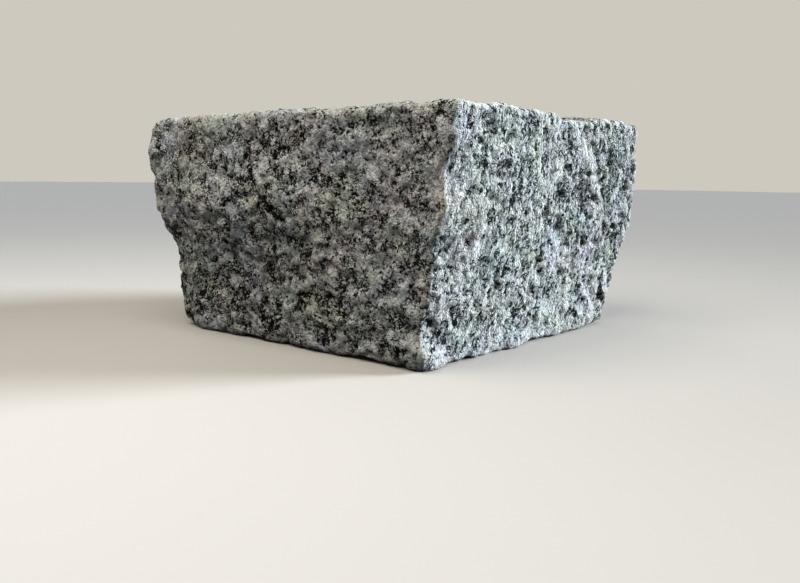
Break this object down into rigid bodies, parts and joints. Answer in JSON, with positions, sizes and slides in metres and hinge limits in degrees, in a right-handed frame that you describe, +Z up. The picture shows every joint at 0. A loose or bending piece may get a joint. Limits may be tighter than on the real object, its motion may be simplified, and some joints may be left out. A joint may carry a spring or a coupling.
{
  "type": "granite paving sett",
  "caption": "Hewn granite block with a level head, split sides drawn in to a narrower bed and worn arrises, laid beside others to pave a road or path.",
  "frame": {"origin": "middle of the stone's footprint, on the flat of the bed that it stands on", "axes": "+Z up, from the bed to the head; +X along the longer side of the head, towards the right face, which is the one drawn in most at its foot; -Y towards the front face, which stands nearly upright"},
  "size_m": [0.1, 0.098, 0.057],
  "materials": {
    "granite": "split and hewn, matt, light grey medium grain with black mica"
  },
  "bodies": {
    "root": {"sett": "granite"}
  },
  "joints": []
}
